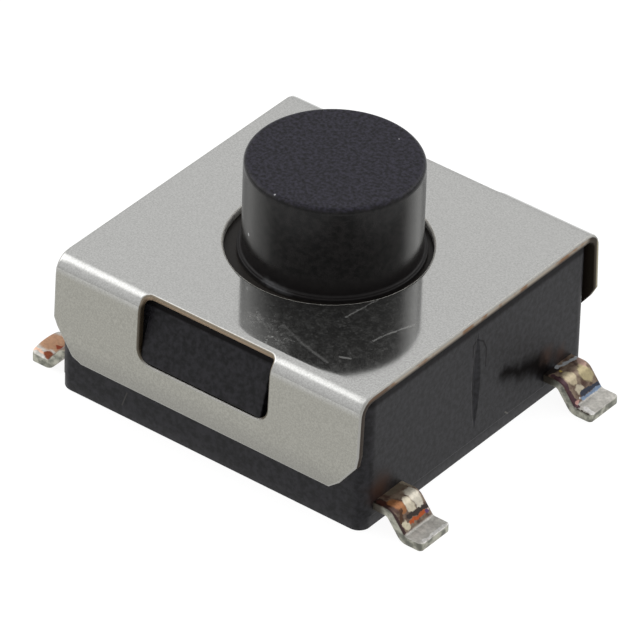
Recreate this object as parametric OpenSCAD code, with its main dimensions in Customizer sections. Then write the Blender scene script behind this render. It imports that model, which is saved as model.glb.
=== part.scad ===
// Surface-mount push button switch with a folded sheet cover and four bent feet.
// Millimetres, +Z up. z = 0 is the board under the feet, x = y = 0 is the middle of the cover's
// top and of the four feet. The button and the housing stand a little off it, in their play.
// The feet leave along X, the cover's two flaps hang on the sides that face along Y.

/* [Cover] */
// Width of the sheet cover in X
cover_x = 6.15; // [6.05:0.01:6.3]
// Width of the cover in Y, over its two folds
cover_y = 6.24; // [6.1:0.01:6.3]
// Height of the cover's flat top above the board
cover_top = 2.73; // [2.6:0.01:2.8]
// Thickness of the sheet
sheet = 0.13; // [0.1:0.01:0.15]
// Outside radius of the two folds
fold_r = 0.32; // [0.25:0.01:0.34]
// Height of the flaps' lower edge above the board
flap_bottom = 0.91; // [0.85:0.01:1.1]
// Angle by which each flap springs outward, in degrees
flap_flare = 2.2; // [1.5:0.1:3]
// Width of the cut lower corners of a flap
flap_corner_x = 0.46; // [0.3:0.01:0.55]
// Height of the cut lower corners of a flap
flap_corner_z = 0.62; // [0.4:0.01:0.7]
// Radius that eases the corners of the flap's outline
flap_ease_r = 0.16; // [0.05:0.01:0.2]
// Width of the latch window in each flap
window_x = 2.6; // [2.5:0.01:2.7]
// How far the windows stand off the cover's middle line in X
window_off_x = -0.045; // [-0.06:0.005:-0.03]
// Height of the window's lower edge above the board
window_bottom = 1.52; // [1.5:0.01:1.59]
// Angle around the fold at which the window ends, in degrees from upright
window_fold_angle = 25; // [15:1:45]
// Radius of the window's corners
window_r = 0.15; // [0.05:0.01:0.2]

/* [Housing] */
// How far the cover stands past the housing's +X wall
cover_overhang = 0.07; // [0.05:0.01:0.1]
// How far the housing's -X wall stands past the cover
base_past = 0.13; // [0.1:0.01:0.15]
// Gap between the housing and the top of the flap on the -Y side
flap_gap = 0.135; // [0.1:0.005:0.16]
// Gap between the housing and the top of the flap on the +Y side
far_flap_gap = 0.025; // [0.01:0.005:0.08]
// Gap between the housing's rounded upper edges and the cover's folds
crown_gap = 0.01; // [0.005:0.005:0.03]
// Radius of the housing's upright corners
base_corner_r = 0.25; // [0.1:0.01:0.4]
// Height of the housing's underside above the board
base_standoff = 0.01; // [0.01:0.01:0.05]
// Height of the inset band around the foot of the housing, above the board
band_top = 0.26; // [0.15:0.01:0.3]
// Depth of that inset band
band_inset = 0.03; // [0.01:0.01:0.06]
// Diameter of the pin marks left in the underside below the leads
pin_mark_d = 0.5; // [0.3:0.05:0.7]

/* [Latch bosses] */
// Gap at each end of a boss in its window
latch_gap = 0.08; // [0.07:0.01:0.12]
// Gap between a boss's catching underside and the window's lower edge
catch_gap = 0.01; // [0:0.005:0.03]
// Height from the catching underside to the ramp's proudest line
catch_h = 0.15; // [0.1:0.01:0.2]
// Height of the ramp above its proudest line
ramp_h = 0.76; // [0.6:0.01:0.8]
// How far the ramp's proudest line reaches into the window
boss_bite = 0.115; // [0.1:0.005:0.15]
// How far the catching edge reaches into the window
catch_bite = 0.055; // [0.04:0.005:0.09]

/* [Gate scar] */
// Depth of the scar that the moulding gate left in the +X wall
scar_depth = 0.05; // [0.02:0.01:0.08]
// Width of the scar
scar_w = 0.22; // [0.1:0.01:0.3]
// Height of the scar's middle above the board
scar_z = 1.42; // [1.3:0.01:1.5]
// Length of the scar
scar_l = 1.9; // [1.2:0.1:2]

/* [Button] */
// Diameter of the button
button_d = 2.914; // [2.8:0.002:3]
// How far the button stands off the middle of the cover's hole in X, in its play
button_off_x = 0.045; // [0:0.005:0.06]
// How far the button stands off the middle of the cover's hole in Y, in its play
button_off_y = 0.035; // [0:0.005:0.06]
// Height of the button's top above the board
button_top = 4.36; // [4.2:0.01:4.5]
// Radius of the button's rounded rim
button_rim_r = 0.1; // [0.05:0.01:0.2]
// Radius of the hollow round between the button and its collar
button_foot_r = 0.04; // [0.02:0.01:0.05]
// How far the collar stands out from the button
collar_step = 0.073; // [0.05:0.001:0.1]
// Gap between the collar and the cover's hole
collar_gap = 0.15; // [0.12:0.01:0.17]
// Depth of the collar's face below the cover's top
collar_sink = 0.03; // [0.01:0.01:0.11]
// How far the flange reaches under the cover, past the hole
flange_grip = 0.29; // [0.2:0.01:0.35]
// Gap between the flange and the wall of its well
flange_gap = 0.1; // [0.08:0.01:0.12]
// Thickness of the flange's plate above its hollow
flange_t = 0.35; // [0.25:0.01:0.5]
// Height of the flange's skirt, with its plate
skirt_h = 0.85; // [0.7:0.01:1]
// Wall of the flange around its hollow underside
flange_wall = 0.35; // [0.25:0.01:0.5]
// Diameter of the middle stud that presses the snap disc
stud_d = 1.4; // [1:0.05:1.8]
// How far the button moves when it is pressed
travel = 0.25; // [0.15:0.01:0.3]

/* [Snap disc] */
// Gap between the snap disc and the wall of the well
disc_gap = 0.2; // [0.1:0.01:0.25]
// Thickness of the snap disc
disc_t = 0.06; // [0.04:0.01:0.08]

/* [Leads] */
// Thickness of the leads
lead_t = 0.15; // [0.13:0.01:0.18]
// Width of the leads
lead_w = 0.76; // [0.65:0.01:0.8]
// Distance between the two rows of leads in Y
lead_pitch = 4.46; // [4.4:0.01:4.55]
// How far the foot tips reach past half the housing's width
lead_reach = 0.865; // [0.82:0.005:0.95]
// Height of the leads' top face where they leave the housing
lead_root_top = 0.52; // [0.48:0.01:0.56]
// Radius of the leads' bends, to the middle of the sheet
lead_bend_r = 0.15; // [0.12:0.01:0.16]
// Slope of the leads between the two bends, in degrees
lead_slope = 52; // [45:1:65]
// Flat length of a lead past half the housing's width, before its first bend
lead_straight = 0.14; // [0.12:0.01:0.16]
// Radius of a foot's corners
foot_r = 0.07; // [0.03:0.01:0.2]
// Width of the arms that carry the snap disc's rim
arm_w = 0.6; // [0.5:0.01:0.7]
// Distance from the disc's rim in to the middle of those arms
arm_inset = 0.15; // [0.1:0.01:0.25]
// How far those arms pass the middle line
arm_past = 0.5; // [0.3:0.05:0.8]
// Width of the tongue to the middle contact
tongue_w = 0.6; // [0.5:0.01:0.8]
// Diameter of the middle contact
contact_d = 1.1; // [0.9:0.05:1.3]

/* [Hidden] */

$fn = 96;
bend_steps = 10;
cut = 1;
plate_under = cover_top - sheet;
fold_y = cover_y / 2 - fold_r;
fold_z = cover_top - fold_r;
collar_d = button_d + 2 * collar_step;
hole_d = collar_d + 2 * collar_gap;
flange_d = hole_d + 2 * flange_grip;
well_d = flange_d + 2 * flange_gap;
hollow_roof = plate_under - flange_t;
flange_bottom = plate_under - skirt_h;
base_x = cover_x - cover_overhang + base_past;
base_y = cover_y - 2 * sheet - flap_gap - far_flap_gap;
base_off_x = -(cover_overhang + base_past) / 2;
base_off_y = (flap_gap - far_flap_gap) / 2;
boss_x = window_x - 2 * latch_gap;
boss_catch_z = window_bottom + catch_gap;
boss_peak_z = boss_catch_z + catch_h;
boss_start_z = boss_peak_z + ramp_h;
lead_y = lead_pitch / 2;
lead_span = base_x + 2 * lead_reach;
well_floor = lead_root_top;
disc_d = well_d - 2 * disc_gap;
disc_rise = travel;
arm_x = disc_d / 2 - arm_inset;
stud_bottom = well_floor + disc_rise + disc_t;
collar_top = cover_top - collar_sink;
disc_sphere_r = (disc_d * disc_d / 4 + disc_rise * disc_rise) / (2 * disc_rise);
lead_root_mid = lead_root_top - lead_t / 2;
lead_drop = lead_root_mid - lead_t / 2;
slope_run = (lead_drop - 2 * lead_bend_r * (1 - cos(lead_slope))) / sin(lead_slope);
bend_x = base_x / 2 + lead_straight;
housing_color = [0.16, 0.155, 0.16];
button_color = [0.12, 0.115, 0.12];
steel_color = [0.72, 0.72, 0.70];
disc_color = [0.80, 0.80, 0.80];
lead_color = [0.82, 0.78, 0.70];

// Points of an arc around c from angle a to angle b
function arc(c, r, a, b, n = bend_steps) =
    [for (i = [0 : n]) c + r * [cos(a + (b - a) * i / n), sin(a + (b - a) * i / n)]];

// A closed outline whose corners are eased by arcs that touch both edges
function unit(v) = v / norm(v);
function eased_corner(a, p, b, r, n) =
    let (u = unit(a - p), v = unit(b - p), half = acos(u * v) / 2, reach = r / tan(half))
    let (s = p + u * reach, e = p + v * reach, c = p + unit(u + v) * r / sin(half))
    let (a0 = atan2(s[1] - c[1], s[0] - c[0]), a1 = atan2(e[1] - c[1], e[0] - c[0]))
    let (turn = a1 - a0 > 180 ? a1 - a0 - 360 : a1 - a0 < -180 ? a1 - a0 + 360 : a1 - a0)
    arc(c, r, a0, a0 + turn, n);
function eased(points, radii, n = 6) =
    let (count = len(points))
    [for (i = [0 : count - 1])
        for (q = radii[i] > 0
            ? eased_corner(points[(i + count - 1) % count], points[i], points[(i + 1) % count], radii[i], n)
            : [points[i]]) q];

// Lays an outline drawn in Y and Z along X, centred
module along_x(length) {
    rotate([90, 0, 90])
        translate([0, 0, -length / 2])
            linear_extrude(length) children();
}

// Lays an outline drawn in X and Z along Y, centred
module along_y(length) {
    rotate([90, 0, 0])
        translate([0, 0, -length / 2])
            linear_extrude(length) children();
}

// One side of the sheet's cross-section at distance r from the fold's centre
function sheet_side(r) =
    let (a = flap_flare, end = fold_z - flap_bottom + cut)
    concat([[fold_y + r * cos(a) + (end + r * sin(a)) * tan(a), fold_z - end]],
        arc([fold_y, fold_z], r, a, 90));

// Cross-section of the folded sheet, in Y and Z
module sheet_section() {
    right = sheet_side(fold_r);
    inner = sheet_side(fold_r - sheet);
    outer = concat(right, [for (i = [len(right) - 1 : -1 : 0]) [-right[i][0], right[i][1]]]);
    inside = concat(inner, [for (i = [len(inner) - 1 : -1 : 0]) [-inner[i][0], inner[i][1]]]);
    polygon(concat(outer, [for (i = [len(inside) - 1 : -1 : 0]) inside[i]]));
}

// Front outline of the cover, in X and Z, with cut lower corners
module flap_outline() {
    w = cover_x / 2;
    r = flap_ease_r;
    polygon(eased([
        [-w, cover_top + cut], [-w, flap_bottom + flap_corner_z], [-w + flap_corner_x, flap_bottom],
        [w - flap_corner_x, flap_bottom], [w, flap_bottom + flap_corner_z], [w, cover_top + cut]
    ], [0, r, r, r, r, 0]));
}

// Latch window, ending on a radial line in the fold
module window() {
    w = window_x / 2;
    top = fold_z + fold_r * cos(window_fold_angle);
    intersection() {
        along_y(cover_y + 2 * cut)
            translate([window_off_x, 0])
                polygon(eased([[-w, window_bottom], [w, window_bottom], [w, top], [-w, top]],
                    [window_r, window_r, window_r, window_r]));
        along_x(cover_x)
            polygon([
                [fold_y, window_bottom - cut], [fold_y, fold_z],
                [fold_y + cut * sin(window_fold_angle), fold_z + cut * cos(window_fold_angle)],
                [cover_y, cover_top], [cover_y, window_bottom - cut]
            ]);
    }
}

// Folded stainless sheet that holds everything down
module cover() {
    color(steel_color)
        difference() {
            intersection() {
                along_x(cover_x) sheet_section();
                along_y(cover_y + 2 * cut) flap_outline();
            }
            translate([0, 0, plate_under - cut]) cylinder(d = hole_d, h = sheet + 2 * cut);
            window();
            mirror([0, 1, 0]) window();
        }
}

// Plan outline of the housing, drawn smaller all round by inset
module housing_plan(inset) {
    x = base_x / 2 - inset;
    y = base_y / 2 - inset;
    r = base_corner_r;
    translate([base_off_x, base_off_y])
        polygon(eased([[-x, -y], [x, -y], [x, y], [-x, y]], [r, r, r, r]));
}

// Ramp that a cover window snaps over, on the side that faces +Y
module boss() {
    flap = cover_y / 2 - sheet;
    wall = flap - flap_gap;
    translate([base_off_x, 0, 0])
        along_x(boss_x)
            polygon([
                [wall - band_inset, boss_start_z], [wall, boss_start_z], [flap + boss_bite, boss_peak_z],
                [flap + catch_bite, boss_catch_z], [wall - band_inset, boss_catch_z]
            ]);
}

// Room for a fold of the cover along the housing's upper edge, on the side that faces +Y
module fold_room() {
    r = fold_r - sheet - crown_gap;
    along_x(2 * cover_x)
        polygon(concat([[fold_y, cover_top]], arc([fold_y, fold_z], r, 90, 0),
            [[cover_y, fold_z], [cover_y, cover_top]]));
}

// Scar of the moulding gate: a disc with a sharp rim that bites into the wall
module gate_scar() {
    r = (scar_l * scar_l / 4 + scar_depth * scar_depth) / (2 * scar_depth);
    widen = scar_w / 2 / scar_depth;
    translate([cover_x / 2 - cover_overhang - scar_depth + r, 0, scar_z])
        rotate([90, 0, 0])
            rotate_extrude($fn = 360) polygon([[r - 1, -widen], [r, 0], [r - 1, widen]]);
}

// Moulded housing around the leads, with the well for the disc and the flange
module housing() {
    color(housing_color)
        difference() {
            union() {
                translate([0, 0, band_top])
                    linear_extrude(plate_under - band_top) housing_plan(0);
                translate([0, 0, base_standoff])
                    linear_extrude(plate_under - base_standoff) housing_plan(band_inset);
                boss();
                mirror([0, 1, 0]) boss();
            }
            translate([0, 0, well_floor]) cylinder(d = well_d, h = cover_top);
            centre_lead_metal();
            rim_lead_metal();
            fold_room();
            mirror([0, 1, 0]) fold_room();
            gate_scar();
            translate([0, 0, base_standoff - cut])
                cylinder(d = pin_mark_d, h = lead_root_top - lead_t - base_standoff + cut);
            for (side = [-1, 1])
                translate([side * arm_x, 0, base_standoff - cut])
                    cylinder(d = pin_mark_d, h = lead_root_top - lead_t - base_standoff + cut);
        }
}

// One side of a lead's cross-section, lifted by half the sheet: root, two bends, flat foot
function lead_side(lift) =
    let (x2 = bend_x + 2 * lead_bend_r * sin(lead_slope) + slope_run * cos(lead_slope))
    concat([[0, lead_root_mid + lift]],
        arc([bend_x, lead_root_mid - lead_bend_r], lead_bend_r + lift, 90, 90 - lead_slope),
        arc([x2, lead_t / 2 + lead_bend_r], lead_bend_r - lift, 270 - lead_slope, 270),
        [[lead_span / 2, lead_t / 2 + lift]]);

// Cross-section of a pair of opposite leads, in X and Z
module lead_section() {
    top = lead_side(lead_t / 2);
    under = lead_side(-lead_t / 2);
    right = concat(top, [for (i = [len(under) - 1 : -1 : 0]) under[i]]);
    polygon(right);
    mirror([1, 0]) polygon(right);
}

// A strip that runs through the housing and ends in a foot on both sides
module lead_pair() {
    x = lead_span / 2;
    y = lead_w / 2;
    intersection() {
        along_y(lead_w) lead_section();
        linear_extrude(cover_top)
            polygon(eased([[-x, -y], [x, -y], [x, y], [-x, y]], [foot_r, foot_r, foot_r, foot_r]));
    }
}

// Metal of the leads that carry the middle contact
module centre_lead_metal() {
    translate([0, -lead_y, 0]) lead_pair();
    translate([0, 0, lead_root_top - lead_t])
        linear_extrude(lead_t) {
            translate([-tongue_w / 2, -lead_y]) square([tongue_w, lead_y]);
            circle(d = contact_d);
        }
}

// Metal of the leads that carry the snap disc's rim
module rim_lead_metal() {
    translate([0, lead_y, 0]) lead_pair();
    for (side = [-1, 1])
        translate([side * arm_x - arm_w / 2, -arm_past, lead_root_top - lead_t])
            cube([arm_w, lead_y + arm_past, lead_t]);
}

module centre_contact_leads() {
    color(lead_color) centre_lead_metal();
}

module rim_contact_leads() {
    color(lead_color) rim_lead_metal();
}

// Sprung disc: a thin cap of a sphere whose rim stands on the arms
module snap_disc() {
    color(disc_color)
        intersection() {
            translate([0, 0, well_floor + disc_rise - disc_sphere_r])
                difference() {
                    sphere(r = disc_sphere_r + disc_t, $fn = 240);
                    sphere(r = disc_sphere_r, $fn = 240);
                }
            translate([0, 0, well_floor]) cylinder(d = disc_d, h = cover_top);
        }
}

// Half cross-section of the button, from its axis outward
module button_half() {
    r = button_d / 2;
    polygon(concat(
        [[0, stud_bottom], [stud_d / 2, stud_bottom], [stud_d / 2, hollow_roof],
            [flange_d / 2 - flange_wall, hollow_roof], [flange_d / 2 - flange_wall, flange_bottom],
            [flange_d / 2, flange_bottom], [flange_d / 2, plate_under],
            [collar_d / 2, plate_under], [collar_d / 2, collar_top]],
        arc([r + button_foot_r, collar_top + button_foot_r], button_foot_r, 270, 180, 6),
        arc([r - button_rim_r, button_top - button_rim_r], button_rim_r, 0, 90),
        [[0, button_top]]));
}

// Moulded button with its collar, flange and stud in one piece
module button() {
    color(button_color)
        translate([button_off_x, button_off_y, 0])
            rotate_extrude($fn = 128) button_half();
}

housing();
cover();
button();
snap_disc();
centre_contact_leads();
rim_contact_leads();
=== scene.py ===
import math

import bmesh
import bpy
import numpy as np
from mathutils import Matrix, Vector
from mathutils.geometry import delaunay_2d_cdt


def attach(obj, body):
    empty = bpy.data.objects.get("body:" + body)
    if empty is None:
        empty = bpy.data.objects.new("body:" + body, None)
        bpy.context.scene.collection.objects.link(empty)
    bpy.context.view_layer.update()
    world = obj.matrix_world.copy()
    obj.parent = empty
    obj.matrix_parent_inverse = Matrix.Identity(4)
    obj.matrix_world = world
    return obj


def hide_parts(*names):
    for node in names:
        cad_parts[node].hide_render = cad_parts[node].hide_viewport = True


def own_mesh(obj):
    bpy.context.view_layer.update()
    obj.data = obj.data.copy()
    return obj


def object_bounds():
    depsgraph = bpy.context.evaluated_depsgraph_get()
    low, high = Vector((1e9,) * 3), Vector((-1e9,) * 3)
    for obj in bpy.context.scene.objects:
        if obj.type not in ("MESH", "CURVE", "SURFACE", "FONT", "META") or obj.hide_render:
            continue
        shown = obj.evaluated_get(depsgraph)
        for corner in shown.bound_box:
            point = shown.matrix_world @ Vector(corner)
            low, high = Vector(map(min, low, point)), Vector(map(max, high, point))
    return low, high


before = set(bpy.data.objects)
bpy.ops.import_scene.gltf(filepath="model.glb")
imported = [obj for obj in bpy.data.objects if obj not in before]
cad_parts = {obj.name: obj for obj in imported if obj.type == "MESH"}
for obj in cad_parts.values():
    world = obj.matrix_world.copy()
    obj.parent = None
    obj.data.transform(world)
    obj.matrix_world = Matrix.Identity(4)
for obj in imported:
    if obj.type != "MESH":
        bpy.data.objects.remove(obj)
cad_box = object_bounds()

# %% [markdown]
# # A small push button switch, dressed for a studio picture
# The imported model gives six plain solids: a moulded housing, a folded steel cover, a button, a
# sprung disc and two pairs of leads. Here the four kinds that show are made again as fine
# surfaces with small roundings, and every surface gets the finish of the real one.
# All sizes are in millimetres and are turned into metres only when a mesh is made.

MM = 0.001

cover_x, cover_y, cover_top, sheet = 6.15, 6.24, 2.73, 0.13
fold_r, flare = 0.32, math.radians(2.2)
flap_bottom, corner_x, corner_z, corner_r = 0.91, 0.46, 0.62, 0.16
window_x, window_off, window_bottom, window_fold, window_r = 2.6, -0.045, 1.52, math.radians(25), 0.26
hole_r, plate_under, window_top_r = 1.68, cover_top - sheet, 0.12

wall_x, wall_y, wall_corner, standoff = 3.105, 2.91, 0.25, 0.01
base_off, crown_gap = np.array([-0.1, 0.055]), 0.01
band_top, band_inset, well_r, well_floor = 0.26, 0.03, 2.07, 0.52
pin_mark_r, arm_x = 0.25, 1.72

button_r, button_top, rim_r, foot_fillet = 1.457, 4.36, 0.1, 0.04
button_off = np.array([0.045, 0.035, 0])
collar_r, collar_top, flange_r, flange_wall = 1.53, 2.7, 1.97, 0.35
flange_bottom, hollow_roof, stud_r, stud_bottom = 1.75, 2.25, 0.7, 0.83

lead_t, lead_w, lead_y, lead_tip, lead_root = 0.15, 0.76, 2.23, 3.97, 0.445
bend_x, bend_r, lead_slope, toe_r = 3.245, 0.15, 52, 0.07

low, high = (np.array(corner) / MM for corner in cad_box)
print("CAD box in mm:", low.round(3), high.round(3))

# %% [markdown]
# ## Camera
# The picture is taken from above the front right corner through a long lens, so that parallel
# edges stay nearly parallel. The camera stands on a line that leaves the switch at the
# azimuth and elevation that fit the photograph, and it is rolled by nearly two degrees.

# %% Place the camera
azimuth, elevation, roll = np.radians([37.05, 35.666, 1.886])
distance, pixels_per_mm = 131.4255, 62.4849
back = np.array([math.sin(azimuth) * math.cos(elevation), -math.cos(azimuth) * math.cos(elevation),
                 math.sin(elevation)])
level = np.array([math.cos(azimuth), math.sin(azimuth), 0.0])
upright = np.cross(back, level)
right = math.cos(roll) * level + math.sin(roll) * upright
up = -math.sin(roll) * level + math.cos(roll) * upright
aim = np.array([0.0, 0.0, 1.5]) - 0.1078 * right - 0.2345 * up
eye = aim + distance * back

camera_data = bpy.data.cameras.new("camera")
camera_data.sensor_width = 36.0
camera_data.lens = 36.0 * pixels_per_mm * distance / 640
camera_data.clip_start, camera_data.clip_end = 0.01, 10.0
camera = bpy.data.objects.new("camera", camera_data)
bpy.context.scene.collection.objects.link(camera)
turn = Matrix(np.column_stack([right, up, back]).tolist()).to_4x4()
camera.matrix_world = Matrix.Translation(Vector(eye * MM)) @ turn
bpy.context.scene.camera = camera
print("camera at", (eye * MM).round(4), "m, lens", round(camera_data.lens, 1), "mm")

# %% [markdown]
# ## Meshes from formulas
# Each new surface is a table of points: a profile carried along a path or turned round an axis.
# The rows and columns of the table are joined by quads. A closed loop wraps round.

# %% Helpers that make points and faces
def arc(centre, radius, start, end, steps):
    """Points centre + radius * (cos a, sin a), with the angle a going from start to end degrees."""
    a = np.radians(np.linspace(start, end, steps + 1))
    return np.column_stack([centre[0] + radius * np.cos(a), centre[1] + radius * np.sin(a)])


def eased(corners, radii, steps=6):
    """A closed outline whose corners become arcs. Each arc touches both edges, so it starts at
    radius / tan(half the corner's angle) before the corner and its centre lies on the bisector."""
    corners = np.asarray(corners, float)
    parts = []
    for p, a, b, r in zip(corners, np.roll(corners, 1, 0), np.roll(corners, -1, 0), radii):
        if r == 0:
            parts.append(p[None])
            continue
        u, v = (a - p) / np.linalg.norm(a - p), (b - p) / np.linalg.norm(b - p)
        half = math.acos(float(u @ v)) / 2
        c = p + (u + v) / np.linalg.norm(u + v) * r / math.sin(half)
        start, end = p + u * r / math.tan(half) - c, p + v * r / math.tan(half) - c
        a0 = math.degrees(math.atan2(start[1], start[0]))
        sweep = (math.degrees(math.atan2(end[1], end[0])) - a0 + 180) % 360 - 180
        parts.append(arc(c, r, a0, a0 + sweep, steps))
    return np.concatenate(parts)


def outward(loop):
    """Unit normals of a counter-clockwise closed loop: the chord between both neighbours,
    turned by a right angle."""
    chord = np.roll(loop, -1, 0) - np.roll(loop, 1, 0)
    n = np.column_stack([chord[:, 1], -chord[:, 0]])
    return n / np.linalg.norm(n, axis=1, keepdims=True)


def quads(rows, columns, wrap_rows=False, wrap_columns=False):
    """Corner numbers of all quads of a table of points, where point (i, j) has number
    i * columns + j. A wrapped direction joins its last line to its first."""
    i = np.arange(rows if wrap_rows else rows - 1)[:, None]
    j = np.arange(columns if wrap_columns else columns - 1)[None, :]
    i2, j2 = (i + 1) % rows, (j + 1) % columns
    table = [i * columns + j, i * columns + j2, i2 * columns + j2, i2 * columns + j]
    return np.stack(table, -1).reshape(-1, 4)


def piece(name, parts, sharp=32, **marks):
    """One object from parts, each a pair (points in mm, faces). Points that meet are merged, the
    faces are turned outward, and edges above the sharp angle stay crisp. A mark is a number
    for each point that its material can read by name."""
    points = np.concatenate([np.asarray(p, float).reshape(-1, 3) for p, f in parts])
    starts = np.cumsum([0] + [np.asarray(p).reshape(-1, 3).shape[0] for p, f in parts])
    faces = [row for (p, f), s in zip(parts, starts) for row in (np.asarray(f) + s).tolist()]
    mesh = bpy.data.meshes.new(name)
    mesh.from_pydata((points * MM).tolist(), [], faces)
    for mark, values in marks.items():
        mesh.attributes.new(mark, "FLOAT", "POINT").data.foreach_set("value", values)
    shell = bmesh.new()
    shell.from_mesh(mesh)
    bmesh.ops.remove_doubles(shell, verts=shell.verts, dist=1e-8)
    bmesh.ops.dissolve_degenerate(shell, edges=shell.edges, dist=1e-9)
    bmesh.ops.recalc_face_normals(shell, faces=shell.faces)
    open_edges = sum(not e.is_manifold for e in shell.edges)
    shell.to_mesh(mesh)
    shell.free()
    mesh.shade_smooth()
    mesh.set_sharp_from_angle(angle=math.radians(sharp))
    made = bpy.data.objects.new(name, mesh)
    bpy.context.scene.collection.objects.link(made)
    mesh.calc_loop_triangles()
    print(f"{name}: {len(mesh.loop_triangles)} triangles, {open_edges} edges not closed")
    return made


# %% [markdown]
# ## Button
# The button is moulded in one piece: a round cap with a small rounded rim, a collar that fills
# the cover's hole, a flange that the cover holds down, and a stud that presses the disc.
# A moulded round part is a profile turned round its axis, so it is a surface of revolution.
# Two close rings beside each rounding keep the flat faces flat when the light plays on them.

# %% Turn the button's profile round its axis
button_profile = np.concatenate([
    [[0, stud_bottom], [stud_r - 0.02, stud_bottom], [stud_r, stud_bottom + 0.02], [stud_r, hollow_roof],
     [flange_r - flange_wall, hollow_roof], [flange_r - flange_wall, flange_bottom],
     [flange_r, flange_bottom], [flange_r, plate_under], [collar_r, plate_under]],
    arc((collar_r - 0.02, collar_top - 0.02), 0.02, 0, 90, 4),
    arc((button_r + foot_fillet, collar_top + foot_fillet), foot_fillet, 270, 180, 6),
    [[button_r, collar_top + foot_fillet + 0.01], [button_r, button_top - rim_r - 0.01]],
    arc((button_r - rim_r, button_top - rim_r), rim_r, 0, 90, 14),
    [[button_r - rim_r - 0.01, button_top], [0.7, button_top], [0, button_top]],
])


def turned(profile, steps):
    """Carries a profile (r, z) round the Z axis: x = r cos a, y = r sin a, z."""
    a = np.linspace(0, 2 * math.pi, steps, endpoint=False)
    r, z = profile[:, :1], profile[:, 1:]
    points = np.stack([r * np.cos(a), r * np.sin(a), z + 0 * a], -1)
    return points, quads(len(profile), steps, wrap_columns=True)


button_points, button_faces = turned(button_profile, 192)
button = piece("button_moulding", [(button_points + button_off, button_faces)])

# %% [markdown]
# ## Snap disc
# Under the button lies a thin sprung disc whose rim stands on the outer contacts. The stud rests on
# its crown, and pressing it flat closes the switch. The disc is a cap of a sphere. With half width w
# and rise h, the sphere's radius is (w * w + h * h) / (2 * h), because its centre is that far below
# the crown and as far from the rim.

# %% Turn the disc's hollow and its crown round the axis
disc_r, disc_rise, disc_t = 1.87, 0.25, 0.06
ball_r = (disc_r ** 2 + disc_rise ** 2) / (2 * disc_rise)
ball_z = well_floor + disc_rise - ball_r
disc_rings = np.linspace(0, disc_r, 13)
disc_profile = np.concatenate([
    np.column_stack([disc_rings, ball_z + np.sqrt(ball_r ** 2 - disc_rings ** 2)]),
    np.column_stack([disc_rings, ball_z + np.sqrt((ball_r + disc_t) ** 2 - disc_rings ** 2)])[::-1]])
snap_disc = piece("sprung_disc", [turned(disc_profile, 96)])
print(f"disc: {2 * disc_r:.2f} mm across, crown at {disc_profile[-1, 1]:.3f} mm, sphere radius {ball_r:.2f} mm")

# %% [markdown]
# ## Cover
# The cover is stamped from a flat strip of stainless sheet and its two flaps are folded down.
# It is worked out as the real one is: first a flat blank with a hole and two windows, then the
# fold. On the blank a point has a place u across and v along, and the fold is a formula that
# turns (u, v, depth) into a place in space. Shearing leaves a rounded upper edge and a
# rough lower one, so every outline gets a small profile carried along it.

# %% Fold the blank: from (u, v, depth) to a point in space
fold_y, fold_z = cover_y / 2 - fold_r, cover_top - fold_r
bend = math.pi / 2 - flare


def folded(u, v, depth):
    """Flat up to fold_y, then round the fold by the angle (v - fold_y) / fold_r, then straight
    down the flap. Depth is measured from the outer face into the sheet."""
    side, v = np.sign(v), np.abs(v)
    angle = np.clip((v - fold_y) / fold_r, 0, bend)
    down = np.clip(v - fold_y - bend * fold_r, 0, None)
    r = fold_r - depth
    y = np.minimum(v, fold_y) + r * np.sin(angle) + down * math.cos(bend)
    z = fold_z + r * np.cos(angle) - down * math.sin(bend)
    return np.stack([u, side * y, z], -1)


def blank_v(z):
    """Where height z of the flap's outer face lies along the flat blank."""
    return fold_y + bend * fold_r + (fold_z + fold_r * math.cos(bend) - z) / math.sin(bend)


half_x, end_v = cover_x / 2, blank_v(flap_bottom)
cut_v = blank_v(flap_bottom + corner_z)
outline = eased([[half_x, -cut_v], [half_x, cut_v], [half_x - corner_x, end_v], [corner_x - half_x, end_v],
                 [-half_x, cut_v], [-half_x, -cut_v], [corner_x - half_x, -end_v], [half_x - corner_x, -end_v]],
                [corner_r] * 8, 8)
window_v0, window_v1 = fold_y + window_fold * fold_r, blank_v(window_bottom)
window = eased([[-window_x / 2, window_v0], [window_x / 2, window_v0], [window_x / 2, window_v1],
                [-window_x / 2, window_v1]], [window_top_r, window_top_r, window_r, window_r], 8) + [window_off, 0]
hole = arc((0, 0), hole_r, 0, 360, 160)[:-1]
print("flat blank:", round(cover_x, 2), "x", round(2 * end_v, 2), "mm")


def densified(loop, step):
    """More points along the straight runs of a loop: new points at equal arc length."""
    closed = np.vstack([loop, loop[:1]])
    length = np.concatenate([[0], np.cumsum(np.linalg.norm(np.diff(closed, axis=0), axis=1))])
    extra = np.arange(0, length[-1], step)
    at = np.unique(np.concatenate([length[:-1], extra]).round(4))
    at = at[np.concatenate([[True], np.diff(at) > step / 5])]
    at = at[at < length[-1] - step / 5]
    return np.column_stack([np.interp(at, length, closed[:, k]) for k in (0, 1)])


# %% Mesh of the blank: edge profiles, and a fill between them
# Offset from the outline into the metal, and depth below the outer face. The first pair is a
# ring that keeps the flat face flat, the last ones are the rough lower edge.
edge_profile = np.array([[0.055, 0], [0.042, 0], [0.026, 0.003], [0.012, 0.011], [0.003, 0.024], [0, 0.042],
                         [0, sheet - 0.012], [0.004, sheet - 0.003], [0.014, sheet], [0.03, sheet]])
grid_step = 0.11
loops = [(densified(outline, grid_step), -1), (densified(window, grid_step), 1),
         (densified(window * [1, -1], grid_step)[::-1], 1), (hole, 1)]


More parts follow.
